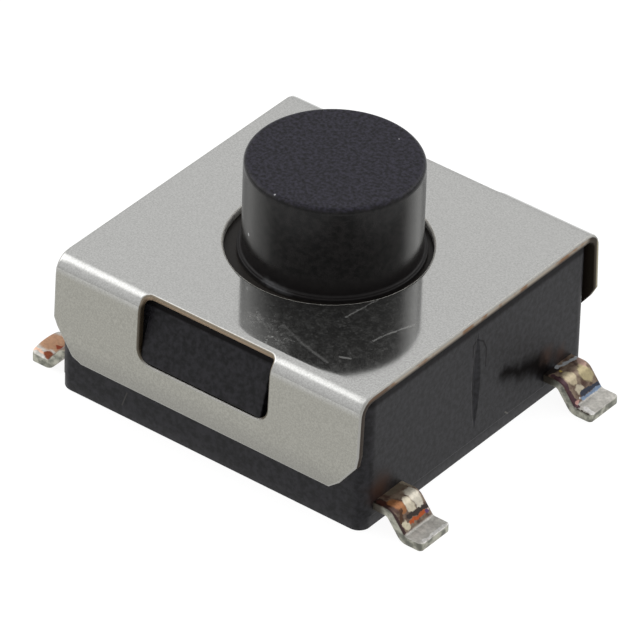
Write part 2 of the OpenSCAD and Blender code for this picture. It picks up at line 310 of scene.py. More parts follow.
def clear_of_cuts(p, margin):
    """True where a point of the blank is at least margin away from every cut's straight lines."""
    u, v = np.abs(p[:, 0]), np.abs(p[:, 1])
    slope = np.array([cut_v - end_v, -corner_x])
    slope = -slope / np.linalg.norm(slope)
    corner = (u - half_x) * slope[0] + (v - cut_v) * slope[1]
    keep = (u < half_x - margin) & (v < end_v - margin) & (corner < -margin)
    keep &= np.hypot(u, v) > hole_r + margin
    du, dv = np.abs(p[:, 0] - window_off) - window_x / 2, np.maximum(window_v0 - v, v - window_v1)
    return keep & (np.maximum(du, dv) > margin)


def within(p, loop):
    """True for points inside a closed loop: a line from the point towards +X crosses it an odd
    number of times."""
    a, b = loop[None], np.roll(loop, -1, 0)[None]
    u, v = p[:, :1], p[:, 1:]
    rise = b[..., 1] - a[..., 1]
    spans = (a[..., 1] > v) != (b[..., 1] > v)
    at = a[..., 0] + (v - a[..., 1]) / np.where(rise == 0, 1, rise) * (b[..., 0] - a[..., 0])
    return (spans & (u < at)).sum(1) % 2 == 1


def fill(rings, spare):
    """Triangles of the flat inside the first ring and outside the others, with spare points, by
    Delaunay's rule: no triangle's circle holds another point."""
    flat = np.concatenate(rings + [spare])
    starts = np.cumsum([0] + [len(r) for r in rings])
    edges = [(s + k, s + (k + 1) % len(r)) for s, r in zip(starts, rings) for k in range(len(r))]
    found = delaunay_2d_cdt([Vector(p) for p in flat.tolist()], edges, [], 0, 1e-7)
    back_to = np.array([o[0] for o in found[3]])
    triangles = back_to[np.array(found[2])]
    a, b, c = (flat[triangles[:, k]] for k in range(3))
    area = np.abs((b - a)[:, 0] * (c - a)[:, 1] - (b - a)[:, 1] * (c - a)[:, 0])
    triangles = triangles[area > 1e-7]
    middle = flat[triangles].mean(1)
    keep = within(middle, rings[0]) & ~np.any([within(middle, ring) for ring in rings[1:]], 0)
    return flat, triangles[keep]


def sheet_mesh():
    """Both faces of the sheet and the profile along every cut, as one closed surface."""
    parts, marks = [], []
    normals = [outward(loop) * (sign if area_sign(loop) > 0 else -sign) for loop, sign in loops]
    for (loop, sign), n in zip(loops, normals):
        flat = loop[None] + n[None] * edge_profile[:, 0][:, None, None]
        depth = np.repeat(edge_profile[:, 1][:, None], len(loop), 1)
        parts.append((folded(flat[..., 0], flat[..., 1], depth), quads(*depth.shape, wrap_columns=True)))
        marks.append(np.repeat(np.interp(edge_profile[:, 1], [0, 0.003, 0.03, 0.042], [0, 0.35, 0.5, 1])[:, None], len(loop), 1).ravel())
    fold_rows = fold_y + np.linspace(0, bend, 15) * fold_r
    v = np.concatenate([np.arange(0.05, fold_y - 0.04, grid_step), fold_rows,
                        np.arange(fold_rows[-1] + 0.06, end_v, grid_step)])
    u = np.linspace(-half_x, half_x, 57)
    spare = np.stack(np.meshgrid(u, np.concatenate([-v[::-1], v])), -1).reshape(-1, 2)
    for offset, depth in (edge_profile[0], edge_profile[-1]):
        rings = [loop + n * offset for (loop, sign), n in zip(loops, normals)]
        flat, triangles = fill(rings, spare[clear_of_cuts(spare, offset + 0.03)])
        parts.append((folded(flat[:, 0], flat[:, 1], depth + 0 * flat[:, 0]), triangles))
        marks.append(np.full(len(flat), 1.0 if depth else 0.0))
    return parts, np.concatenate(marks)


def area_sign(loop):
    """Above zero for a counter-clockwise loop: half the sum of x_k y_(k+1) - x_(k+1) y_k."""
    after = np.roll(loop, -1, 0)
    return float(np.sum(loop[:, 0] * after[:, 1] - after[:, 0] * loop[:, 1]))


cover_parts, cover_cut = sheet_mesh()
cover = piece("folded_cover", cover_parts, sharp=38, cut=cover_cut)

# %% [markdown]
# ## Housing
# The housing is one moulding round the leads. Its walls are a plan outline carried upward,
# row by row, and each row says how far it stands in: a little at the two ends for the rounded
# edges, and 0.03 mm along the foot band. The two upper edges below the folds are rounded to
# fit them. The wall that faces +X is a fine net, because the gate's scar is sunk into it.

# %% Plan outline, counter-clockwise, with close points where the scar is
straight_x, straight_y = wall_x - wall_corner, wall_y - wall_corner
fine = np.unique(np.concatenate([np.linspace(-straight_y, straight_y, 172), np.linspace(-0.17, 0.17, 29)]).round(4))
coarse_y, coarse_x = np.linspace(straight_y, -straight_y, 36), np.linspace(straight_x, -straight_x, 60)


def corner(x, y, start):
    """A quarter of the plan's rounding, without its two ends."""
    return arc((x, y), wall_corner, start, start + 90, 10)[1:-1]


plan = np.concatenate([
    np.column_stack([np.full(len(fine), wall_x), fine]), corner(straight_x, straight_y, 0),
    np.column_stack([coarse_x, np.full(60, wall_y)]), corner(-straight_x, straight_y, 90),
    np.column_stack([np.full(36, -wall_x), coarse_y]), corner(-straight_x, -straight_y, 180),
    np.column_stack([-coarse_x, np.full(60, -wall_y)]), corner(straight_x, -straight_y, 270)]) + base_off
plan_out = outward(plan)

# %% Marks of moulding on the +X wall, as a depth below it
scar_z, scar_l, scar_w, scar_depth = 1.42, 1.9, 0.22, 0.05


def wall_marks(y, z):
    """Depth in mm at (y, z): the gate's scar is a disc's sharp rim sunk into the wall, so its depth
    falls with the square of the height from its middle and its sides are straight."""
    deep = scar_depth * (1 - ((z - scar_z) / (scar_l / 2)) ** 2)
    half = scar_w / 2 * deep / scar_depth
    scar = np.where(deep > 0, deep * np.clip(1 - np.abs(y) / np.maximum(half, 1e-6), 0, 1), 0)
    return scar


# %% Carry the plan upward, then inward over the top and down into the well
wall_rows = np.concatenate([
    [[standoff, band_inset + 0.03], [standoff, band_inset + 0.02], [standoff + 0.006, band_inset + 0.006],
     [standoff + 0.02, band_inset], [band_top - 0.012, band_inset], [band_top, band_inset], [band_top, 0.014],
     [band_top + 0.004, 0.004], [band_top + 0.014, 0]],
    np.column_stack([np.linspace(band_top + 0.03, plate_under - 0.04, 76), np.zeros(76)]),
    [[plate_under - 0.02, 0], [plate_under - 0.006, 0.006], [plate_under, 0.02], [plate_under, 0.03]]])
rows, columns = len(wall_rows), len(plan)
inset = np.repeat(wall_rows[:, 1][:, None], columns, 1)
height = np.repeat(wall_rows[:, 0][:, None], columns, 1)
on_side = np.clip((wall_y - np.abs(plan[None, :, 1] - base_off[1])) / wall_corner, 0, 1)
inset = np.where(height < band_top + 0.01, np.clip(inset - band_inset * (1 - on_side), 0, None), inset)
on_fine_wall = (np.arange(columns) < len(fine))[None, :] & (wall_rows[:, 1] == 0)[:, None]
inset = inset + np.where(on_fine_wall, wall_marks(plan[None, :, 1] + 0 * height, height), 0)
worn = np.clip((height - plate_under + 0.1) / 0.1, 0, 1) ** 2 * 0.07
inset = inset + np.where(plan[None, :, 0] < -wall_x, worn, 0)
walls = np.concatenate([plan[None] - plan_out[None] * inset[..., None], height[..., None]], -1)
room = (fold_r - sheet - crown_gap) ** 2 - np.clip(height - fold_z, 0, None) ** 2
limit = fold_y + np.sqrt(np.clip(room, 0, None))
walls[..., 1] = np.where(height > fold_z, np.clip(walls[..., 1], -limit, limit), walls[..., 1])

direction = plan / np.linalg.norm(plan, axis=1, keepdims=True)
well_rows = [(well_r + 0.02, plate_under), (well_r, plate_under - 0.02), (well_r, well_floor - 0.005),
             (0, well_floor - 0.005)]
well = np.stack([np.column_stack([direction * r, np.full(columns, z)]) for r, z in well_rows])
shell_points = np.concatenate([walls, well])
housing_parts = [(shell_points, quads(rows + 4, columns, wrap_columns=True))]

pin_marks = [arc((x, 0), pin_mark_r, 0, 360, 40)[:-1] for x in (-arm_x, 0, arm_x)]
under_ring = walls[0, :, :2]
flat, triangles = fill([under_ring] + pin_marks, np.zeros((0, 2)))
housing_parts.append((np.column_stack([flat, np.full(len(flat), standoff)]), triangles))
pin_rows = np.array([[pin_mark_r, standoff], [pin_mark_r, 0.372], [0, 0.372]])
for x in (-arm_x, 0, arm_x):
    points, faces = turned(pin_rows, 40)
    housing_parts.append((points + [x, 0, 0], faces))

# %% [markdown]
# Each flap of the cover snaps over a ramp, one on the front wall and one on the back. A ramp is a
# section in Y and Z carried along X, and its two ends are rounded by shrinking the section.

# %% Ramps that the cover's windows snap over
boss_half, round_r = 1.22, 0.025
boss_section = eased([[2.795, 1.53], [3.14, 1.53], [2.855, 2.44], [2.795, 2.44]], [0, 0.03, 0, 0])


def bar(section, half_length, rounding, steps=5):
    """Carries a closed section (y, z) along X. Towards each end it shrinks by
    rounding * (1 - cos a) while x grows by rounding * sin a, which is a quarter round."""
    a = np.linspace(0, math.pi / 2, steps)
    x = half_length - rounding + rounding * np.sin(a)
    shrink = rounding * (1 - np.cos(a))
    x = np.concatenate([-x[::-1], np.linspace(-half_length + rounding, half_length - rounding, 30)[1:-1], x])
    shrink = np.concatenate([shrink[::-1], np.zeros(28), shrink])
    n = outward(section)
    flat = section[None] - n[None] * shrink[:, None, None]
    ends = flat.mean(1, keepdims=True) + 0 * flat
    flat = np.concatenate([ends[:1], flat, ends[-1:]])
    x = np.concatenate([x[:1], x, x[-1:]])
    points = np.concatenate([np.repeat(x[:, None, None], len(section), 1), flat], -1)
    return points, quads(len(x), len(section), wrap_columns=True)


boss_points, boss_faces = bar(boss_section, boss_half, round_r)
boss_off = [base_off[0], 0, 0]
housing_parts += [(boss_points + boss_off, boss_faces), (boss_points * [-1, -1, 1] + boss_off, boss_faces)]
housing = piece("moulded_housing", housing_parts, sharp=40)

# %% [markdown]
# ## Leads
# Each lead is a strip of thin brass, punched out and bent twice, so that its foot lies flat on the board.
# A strip is a small rounded section carried along a bent path. Punching rounds the upper
# edges and leaves the lower ones nearly square, and the foot's corners are cut round.

# %% Path of a strip, from one foot through the housing to the other
drop = lead_root - lead_t / 2
slope = math.radians(lead_slope)
slope_run = (drop - 2 * bend_r * (1 - math.cos(slope))) / math.sin(slope)
second_x = bend_x + 2 * bend_r * math.sin(slope) + slope_run * math.cos(slope)


def half_path():
    """Centre line (x, z) from the middle of the switch to a foot's tip."""
    first = arc((bend_x, lead_root - bend_r), bend_r, 90, 90 - lead_slope, 10)
    second = arc((second_x, lead_t / 2 + bend_r), bend_r, 270 - lead_slope, 270, 10)
    run = np.linspace(first[-1], second[0], 10)[1:-1]
    root = np.column_stack([np.linspace(2.8, bend_x, 14)[:-1], np.full(13, lead_root)])
    foot = np.column_stack([np.linspace(second_x, lead_tip - toe_r - 0.01, 8)[1:], np.full(7, lead_t / 2)])
    toe = np.column_stack([lead_tip - toe_r + toe_r * np.sin(np.linspace(0, math.pi / 2, 9)), np.full(9, lead_t / 2)])
    return np.concatenate([[[0, lead_root]], root, first, run, second, foot, toe])


half = half_path()
path = np.concatenate([half[:0:-1] * [-1, 1], half])
tangent = np.gradient(path, axis=0)
tangent[[0, -1]] = [[1, 0], [1, 0]]
tangent /= np.linalg.norm(tangent, axis=1, keepdims=True)
path_normal = np.column_stack([-tangent[:, 1], tangent[:, 0]])
along = np.concatenate([[0], np.cumsum(np.linalg.norm(np.diff(path, axis=0), axis=1))])


def strip(centre_y):
    """Points of a strip: path + n * height + y * across. Near a toe the half width falls as
    w - r + sqrt(r^2 - d^2), the rounding of a foot's corner, with d the way past its start.
    One foot carries a low blob of solder: a bell curve of x times half a sine wave of y."""
    section = eased([[-0.5, -0.5], [0.5, -0.5], [0.5, 0.5], [-0.5, 0.5]], [0, 0, 0, 0])
    upper, lower = 0.035, 0.012
    w, t = lead_w / 2, lead_t / 2
    section = np.concatenate([
        np.column_stack([np.linspace(-w + lower, w - lower, 13), np.full(13, -t)]),
        arc((w - lower, -t + lower), lower, -90, 0, 3)[1:],
        arc((w - upper, t - upper), upper, 0, 90, 5),
        np.column_stack([np.linspace(w - upper, upper - w, 23), np.full(23, t)])[1:-1],
        arc((upper - w, t - upper), upper, 90, 180, 5),
        arc((lower - w, -t + lower), lower, 180, 270, 3)[:-1]])
    past = np.clip((np.abs(path[:, 0]) - (lead_tip - toe_r)) / toe_r, 0, 1)
    narrow = toe_r * (1 - np.sqrt(1 - past ** 2))
    across = section[None, :, 0] * (1 - narrow / w)[:, None]
    lift = np.repeat(section[None, :, 1], len(path), 0)
    toe_lift = np.clip(lift, -t + 0.012, t - 0.035)
    edge = (past > 0.999)[:, None]
    lift = np.where(edge, toe_lift, lift)
    points = np.stack([path[:, :1] + path_normal[:, :1] * lift, centre_y + across,
                       path[:, 1:] + path_normal[:, 1:] * lift], -1)
    blob = np.exp(-((points[..., 0] + 3.93) / 0.22) ** 2) * (points[..., 1] < 0) * (lift > 0)
    points[..., 2] += 0.085 * blob * np.sin(math.pi * np.clip(across / lead_w + 0.5, 0, 1)) ** 0.6
    ends = points[[0, -1]].mean(1, keepdims=True) + 0 * points[[0, -1]]
    points = np.concatenate([ends[:1], points, ends[1:]])
    cut = np.concatenate([np.ones((1, len(section))), np.repeat((np.abs(section[None, :, 0]) > w - 0.012) * 1.0,
                          len(path), 0), np.ones((1, len(section)))])
    cut[1], cut[-2] = 1, 1
    out = np.abs(along - along[len(path) // 2]) - wall_x - base_off[0]
    out, side = np.concatenate([out[:1], out, out[-1:]]), np.concatenate([path[:1, 0], path[:, 0], path[-1:, 0]])
    out = np.repeat(out[:, None], len(section), 1)
    across = (points[..., 1] - centre_y) * np.where((side < 0) & (centre_y > 0), -1, 1)[:, None]
    number = np.where(side > 0, 1 if centre_y < 0 else 2, 3 if centre_y < 0 else 1)[:, None]
    return points, quads(len(points), len(section), wrap_columns=True), cut.ravel(), out.ravel(), \
        (across + 10 * number).ravel()


def slab(x0, x1, y0, y1):
    """A flat strip inside the housing, between the lead's under and upper face."""
    z0, z1 = lead_root - lead_t / 2, lead_root + lead_t / 2
    p = np.array([[x, y, z] for z in (z0, z1) for x, y in ((x0, y0), (x1, y0), (x1, y1), (x0, y1))])
    faces = [[0, 3, 2, 1], [4, 5, 6, 7], [0, 1, 5, 4], [1, 2, 6, 5], [2, 3, 7, 6], [3, 0, 4, 7]]
    return p, np.array(faces)


front_points, front_faces, *front_marks = strip(-lead_y)
back_points, back_faces, *back_marks = strip(lead_y)
contact = np.array([[0, lead_root - lead_t / 2], [0.55, lead_root - lead_t / 2], [0.55, lead_root + lead_t / 2],
                    [0, lead_root + lead_t / 2]])
centre_parts = [(front_points, front_faces), slab(-0.3, 0.3, -lead_y, 0), turned(contact, 48)]
rim_parts = [(back_points, back_faces)] + [slab(s * arm_x - 0.3, s * arm_x + 0.3, -0.5, lead_y) for s in (-1, 1)]
names = ("cut", "out", "across")
centre_leads = piece("front_leads", centre_parts,
                     **{k: np.concatenate([v, np.zeros(8 + 4 * 48)]) for k, v in zip(names, front_marks)})
rim_leads = piece("back_leads", rim_parts,
                  **{k: np.concatenate([v, np.zeros(16)]) for k, v in zip(names, back_marks)})

# %% [markdown]
# ## Materials
# A small function adds a node, sets what it is told, and joins its inputs. Every material
# below is built with it from the plainest recipe: what the thing is made of, how its surface
# was made, and what that does to light.

# %% Colour and node helpers
def linear(code):
    """sRGB hex to linear light: c / 12.92 when dark, else ((c + 0.055) / 1.055) to the power 2.4."""
    c = np.array([int(code[k:k + 2], 16) for k in (1, 3, 5)]) / 255
    c = np.where(c <= 0.04045, c / 12.92, ((c + 0.055) / 1.055) ** 2.4)
    return (*c.tolist(), 1.0)


def node(tree, kind, inputs=None, **settings):
    """Adds a node of that kind, sets its settings, and gives each named or numbered input a value
    or a link from another node's output."""
    made = tree.nodes.new("ShaderNode" + kind)
    for key, value in settings.items():
        setattr(made, key, value)
    for key, value in (inputs or {}).items():
        if isinstance(value, bpy.types.NodeSocket):
            tree.links.new(value, made.inputs[key])
        else:
            made.inputs[key].default_value = value
    return made


def material(name):
    """A material with only its output, and the object's own coordinates in millimetres."""
    made = bpy.data.materials.new(name)
    made.use_nodes = True
    made.node_tree.nodes.clear()
    tree = made.node_tree
    place = node(tree, "TexCoord").outputs["Object"]
    place = node(tree, "VectorMath", {0: place, 1: (1000, 1000, 1000)}, operation="MULTIPLY").outputs[0]
    return made, tree, place


def finish_with(tree, surface):
    """Joins a finished surface shader to the material's output."""
    node(tree, "OutputMaterial", {"Surface": surface})


# %% Marks drawn on a surface
def between(tree, value, low, high, to_low=0.0, to_high=1.0):
    """A number taken smoothly from one range to another and kept inside it."""
    limits = {"Value": value, "From Min": low, "From Max": high, "To Min": to_low, "To Max": to_high}
    return node(tree, "MapRange", limits, interpolation_type="SMOOTHSTEP").outputs[0]


def combined(tree, how, *values):
    """Numbers joined one after the other by the same operation, such as MAXIMUM."""
    total = values[0]
    for value in values[1:]:
        total = node(tree, "Math", {0: total, 1: value}, operation=how).outputs[0]
    return total


def stroke(tree, place, start, end, width, soft=1.0):
    """A straight mark with round ends: 1 on the line from start to end, 0 from half the width away.
    The nearest point of the line is start + t * way, with t = (p - start) . way kept between 0 and
    the line's length. The soft share of the half width is the rim where it fades."""
    way, length = (Vector(end) - Vector(start)).normalized(), (Vector(end) - Vector(start)).length
    off = node(tree, "VectorMath", {0: place, 1: start}, operation="SUBTRACT").outputs[0]
    t = node(tree, "VectorMath", {0: off, 1: way}, operation="DOT_PRODUCT").outputs["Value"]
    t = node(tree, "Clamp", {"Value": t, "Max": length}).outputs[0]
    foot = node(tree, "VectorMath", {0: tuple(way), "Scale": t}, operation="SCALE").outputs[0]
    gap = node(tree, "VectorMath", {0: off, 1: foot}, operation="DISTANCE").outputs["Value"]
    return between(tree, gap, width / 2 * (1 - soft), width / 2, 1.0, 0.0)


def spot(tree, place, centre, radius, soft=0.5):
    """A round mark: 1 inside, 0 beyond the radius, with a soft rim."""
    gap = node(tree, "VectorMath", {0: place, 1: centre}, operation="DISTANCE").outputs["Value"]
    return between(tree, gap, radius * (1 - soft), radius, 1.0, 0.0)


def warped(tree, place, scale, reach):
    """Places shifted by a noise, so that marks drawn at them get ragged edges."""
    noise = node(tree, "TexNoise", {"Vector": place, "Scale": scale, "Detail": 3.0}).outputs["Color"]
    noise = node(tree, "VectorMath", {0: noise, 1: (0.5, 0.5, 0.5)}, operation="SUBTRACT").outputs[0]
    return node(tree, "VectorMath", {0: noise, 1: (reach, reach, reach), 2: place}, operation="MULTIPLY_ADD").outputs[0]


def blend(tree, amount, first, second):
    """One colour over another by an amount from 0 to 1."""
    first, second = (linear(c) if isinstance(c, str) else c for c in (first, second))
    return node(tree, "MixRGB", {"Fac": amount, "Color1": first, "Color2": second}).outputs[0]


# %% Housing and button plastic
def mottled(tree, place, scale, dark, light):
    """A fine cloud of two colours: the grain that a spark-eroded mould leaves on plastic."""
    grain = node(tree, "TexNoise", {"Vector": place, "Scale": scale, "Detail": 3.0, "Roughness": 0.6}).outputs["Fac"]
    return blend(tree, between(tree, grain, 0.3, 0.7), dark, light)


def plastic_shader(tree, colour, level, roughness):
    """Black plastic: almost no light from within, and a weak sheen that grows at grazing angles."""
    shader = node(tree, "BsdfPrincipled", {"Base Color": colour, "Roughness": roughness, "IOR": 1.5})
    shader.inputs["Specular IOR Level"].default_value = level
    return shader.outputs[0]


def housing_finish():
    """Glass-filled nylon, moulded black: dull, because its fibres break the skin. Soldering fumes have
    browned it above the leads, and soot and a drag mark darken the +X wall. Painted shade darkens the
    deep gap above each ramp, a band along both X walls just below the cover, and the ring round the
    gate's scar."""
    made, tree, place = material("black_glass_filled_nylon")
    ragged = warped(tree, place, 6.0, 0.22)
    colour = mottled(tree, place, 11, "#050507", "#201F23")
    for centre, radius in browned:
        colour = blend(tree, spot(tree, ragged, centre, radius, 1.0), colour, "#2C1A12")
    for *mark, tint in pale_nicks:
        colour = blend(tree, stroke(tree, place, *mark), colour, tint)
    for centre, radius in housing_specks:
        colour = blend(tree, spot(tree, place, centre, radius), colour, "#9A9A9C")
    soot = combined(tree, "MAXIMUM", *[stroke(tree, ragged, *mark) for mark in dark_marks])
    gap = combined(tree, "MAXIMUM", *[combined(tree, "MULTIPLY", stroke(tree, place, *mark), strength)
                                      for *mark, strength in gap_shadows])
    # Soot and the painted shade of the gaps both blend in the darker plastic below.
    surface = node(tree, "MixShader", {0: combined(tree, "MAXIMUM", soot, gap),
                                       1: plastic_shader(tree, colour, 0.17, 0.45),
                                       2: plastic_shader(tree, linear("#0A0808"), 0.02, 0.6)}).outputs[0]
    finish_with(tree, surface)
    return made


def button_finish():
    """Acetal, moulded black: its sides are smooth and mirror the light at the flanks; its top has a
    coarser grain, so it looks evenly dull, with a trace of bluish dust."""
    made, tree, place = material("black_moulded_acetal")
    sides, top = mottled(tree, place, 9, "#020202", "#181616"), mottled(tree, place, 17, "#060509", "#2A2833")
    for centre, radius in button_specks:
        dot = spot(tree, place, centre, radius)
        sides, top = blend(tree, dot, sides, "#9A9A9C"), blend(tree, dot, top, "#9A9A9C")
    height = node(tree, "SeparateXYZ", {0: place}).outputs[2]
    # Grey dust on the collar's front, partly a painted sheen; below the cover's level the flange is paler, painted
    # light that lifts the shade of the narrow gap.
    dust_and_sheen = combined(tree, "MAXIMUM", *[stroke(tree, warped(tree, place, 9.0, 0.15), *mark) for mark in collar_dust_and_sheen])
    lint_and_painted_light = blend(tree, between(tree, height, 2.66, 2.61), blend(tree, dust_and_sheen, "#1C1A1A", "#525254"), "#2E2B28")
    foot = node(tree, "MixShader", {0: between(tree, height, 3.12, 2.85, 0.0, 0.7),
                                    1: plastic_shader(tree, sides, 0.2, 0.25),
                                    2: plastic_shader(tree, lint_and_painted_light, 0.12, 0.6)})
    grit = node(tree, "TexNoise", {"Vector": place, "Scale": 14.0, "Detail": 3.0}).outputs["Fac"]
    worn_height = combined(tree, "ADD", height, combined(tree, "MULTIPLY", grit, 0.06))
    surface = node(tree, "MixShader", {0: between(tree, worn_height, button_top - 0.03, button_top + 0.03),
                                       1: foot.outputs[0], 2: plastic_shader(tree, top, 0.15, 0.5)}).outputs[0]
    finish_with(tree, surface)
    return made


# %% Where the plastic is marked, and where painted shade darkens it, in mm
housing_specks = [((0.881, -3.0, 2.185), 0.03), ((1.1, -3.03, 1.72), 0.02)]
browned = [((3.0, -2.45, 0.72), 0.42), ((3.0, 1.89, 0.84), 0.3), ((3.0, 2.3, 0.7), 0.25)]
pale_nicks = [((3.0, 0.836, 0.34), (3.0, 1.037, 0.15), 0.05, "#55534F"), ((3.0, -0.62, 1.9), (3.0, -1.4, 1.2), 0.03, "#222124"),
              ((-1.778, -2.85, 0.516), (-1.876, -2.85, 0.232), 0.04, "#3A3836")]
soot_line = [(0.78, 1.14), (1.22, 0.94), (1.65, 0.84), (1.89, 0.52)]
dark_marks = [((3.0, *a), (3.0, *b), width) for a, b, width in zip(soot_line, soot_line[1:], (0.5, 0.62, 0.5))]
scar_ring = [(-0.109, 1.948), (-0.109, 2.163), (-0.008, 2.224), (0.155, 2.114), (0.245, 1.928), (0.241, 1.578)]
# Painted shade: the deep gap above each ramp, a band along both X walls just below the cover, and the ring round the
# gate's scar (from, to, width, soft rim, strength).
gap_shadows = [((-1.4, side * 2.84, 2.6), (1.4, side * 2.84, 2.6), 0.36, 0.25, 0.85) for side in (-1, 1)]
gap_shadows += [((x, -2.8, 2.5), (x, 2.8, 2.5), 0.3, 0.6, 0.6) for x in (-3.2, 3.0)]
gap_shadows += [((3.0, *a), (3.0, *b), 0.045, 0.6, 0.45) for a, b in zip(scar_ring, scar_ring[1:])]
# Collar marks (from, to, width): grey dust, partly a painted sheen.
collar_dust_and_sheen = [((-0.15, -1.45, 2.7), (0.235, -1.523, 2.7), 0.2), ((0.235, -1.523, 2.7), (0.486, -1.56, 2.7), 0.3), ((0.486, -1.56, 2.7), (0.697, -1.522, 2.7), 0.2)]
button_specks = [((-0.067, -1.356, 4.34), 0.025), ((0.484, 1.116, 4.35), 0.02), ((-0.66, -1.24, 3.25), 0.035)]
housing_plastic, button_plastic = housing_finish(), button_finish()

# %% Stainless sheet
def rolled_steel():
    """Bright rolled stainless sheet: a grey mirror. Handling has left a film of dust and fine
    scratches, which show as pale marks where the sheet mirrors something dark. The folded flaps are
    painted darker and warmer, and darker again towards their lower edge: painted shade. The sheared
    edges are rough, nearly black, and browned in places."""
    made, tree, place = material("bright_rolled_stainless_steel")
    x, y, height = node(tree, "SeparateXYZ", {0: place}).outputs
    grain = node(tree, "TexNoise", {"Vector": place, "Scale": 34.0, "Detail": 2.0}).outputs["Fac"]
    tone = blend(tree, between(tree, grain, 0.3, 0.7), "#A7A7A5", "#B7B7B5")
    # Painted shade: below the fold the flaps are darker and warmer, and darker again below 1.4 mm.
    for shade, top, bottom in (((0.72, 0.71, 0.65, 1), 2.58, 2.4), ((0.84, 0.84, 0.86, 1), 1.4, 0.9)):
        tone = node(tree, "MixRGB", {"Fac": between(tree, height, bottom, top, 1.0, 0.0), "Color1": tone,
                                     "Color2": shade}, blend_type="MULTIPLY").outputs[0]
    cut = node(tree, "Attribute", attribute_name="cut").outputs["Fac"]
    brown = node(tree, "TexNoise", {"Vector": place, "Scale": 3.5, "Detail": 4.0}).outputs["Fac"]
    edge = blend(tree, between(tree, brown, 0.46, 0.62), "#A29A8E", "#8A6E56")
    edge = blend(tree, between(tree, y, -2.2, -2.5), edge, "#6A5646")
    edge = blend(tree, between(tree, height, 2.675, 2.605), edge, "#3A322B")
    flare_back = combined(tree, "ADD", y, combined(tree, "MULTIPLY", height, 0.0384))
    far_flap = combined(tree, "MULTIPLY", between(tree, y, 2.7, 2.9), between(tree, x, 2.9, 3.0))
    edge = blend(tree, far_flap, edge, blend(tree, between(tree, flare_back, 3.12, 3.17), "#3A342C", "#A29C86"))
    side = node(tree, "Math", {0: x}, operation="ABSOLUTE").outputs[0]
    window = combined(tree, "MULTIPLY", between(tree, side, 1.45, 1.4), between(tree, height, 1.5, 1.6))
    edge = blend(tree, window, edge, "#54493A")
    crest = combined(tree, "MULTIPLY", between(tree, side, 1.45, 1.4), between(tree, height, 2.5, 2.6))
    edge = blend(tree, crest, edge, "#A8957F")
    round_hole = node(tree, "VectorMath", {0: place, 1: (0, 0, plate_under)}, operation="DISTANCE").outputs["Value"]
    edge = blend(tree, between(tree, round_hole, 1.9, 1.8), edge, "#2A2622")
    rim = blend(tree, window, "#A3A29E", "#605A50")
    rim = blend(tree, crest, rim, "#857B6C")
    tone = blend(tree, between(tree, cut, 0.1, 0.4), tone, rim)
    colour = blend(tree, between(tree, cut, 0.45, 1.0), tone, edge)
    mirror = node(tree, "BsdfPrincipled", {"Base Color": colour, "Metallic": 1.0,
                                           "Roughness": between(tree, cut, 0.05, 0.4, 0.09, 0.6)}).outputs[0]
    matt = node(tree, "BsdfPrincipled", {"Base Color": colour, "Metallic": 1.0, "Roughness": 0.62}).outputs[0]
    film = node(tree, "TexNoise", {"Vector": place, "Scale": 9.0, "Detail": 5.0, "Roughness": 0.75}).outputs["Fac"]
    grit = node(tree, "TexNoise", {"Vector": place, "Scale": 24.0, "Detail": 2.0, "Roughness": 0.6}).outputs["Fac"]
    haze = combined(tree, "ADD", between(tree, film, 0.42, 0.75, 0.03, 0.14), between(tree, grit, 0.6, 0.76, 0.0, 0.16))
    ragged = warped(tree, place, 20.0, 0.06)
    scratches = [combined(tree, "MULTIPLY", stroke(tree, ragged, (*a, cover_top), (*b, cover_top), width), strength)
                 for a, b, width, strength in plate_scratches]
    scratches += [combined(tree, "MULTIPLY", spot(tree, ragged, (*a, cover_top), radius, 1.0), 3.0, haze)
                  for a, radius in plate_smudges]
    worn = combined(tree, "MAXIMUM", *scratches)
    surface = node(tree, "MixShader", {0: combined(tree, "ADD", haze, worn), 1: mirror, 2: matt}).outputs[0]
    burr = node(tree, "BsdfPrincipled", {"Base Color": linear("#BDBBB5"), "Roughness": 0.9}).outputs[0]
    burred = combined(tree, "MULTIPLY", between(tree, round_hole, 1.725, 1.7), between(tree, film, 0.3, 0.55, 0.4, 1.0))
    surface = node(tree, "MixShader", {0: burred, 1: surface, 2: burr}).outputs[0]
    finish_with(tree, surface)
    return made


# %% Scratches on the plate: from, to, and width in mm
plate_scratches = [((1.46, -1.43), (1.51, -1.06), 0.06, 0.42), ((1.51, -1.06), (1.56, -0.7), 0.045, 0.4),
                   ((2.18, -1.66), (2.25, -1.36), 0.05, 0.35), ((2.25, -1.36), (2.4, -0.92), 0.06, 0.45),
                   ((2.4, -0.92), (2.5, -0.61), 0.04, 0.3), ((0.84, -2.23), (1.35, -2.42), 0.09, 0.14),
                   ((1.35, -2.42), (1.98, -2.57), 0.09, 0.18), ((2.05, -2.33), (2.2, -2.26), 0.08, 0.4),
                   ((0.3, -2.2), (0.75, -2.5), 0.07, 0.2), ((0.6, -2.35), (1.3, -2.72), 0.07, 0.18),
                   ((0.3, -2.5), (1.1, -2.75), 0.8, 0.12)]
plate_smudges = [((0.93, -2.6), 0.5), ((0.45, -2.4), 0.45)]
cover_steel = rolled_steel()

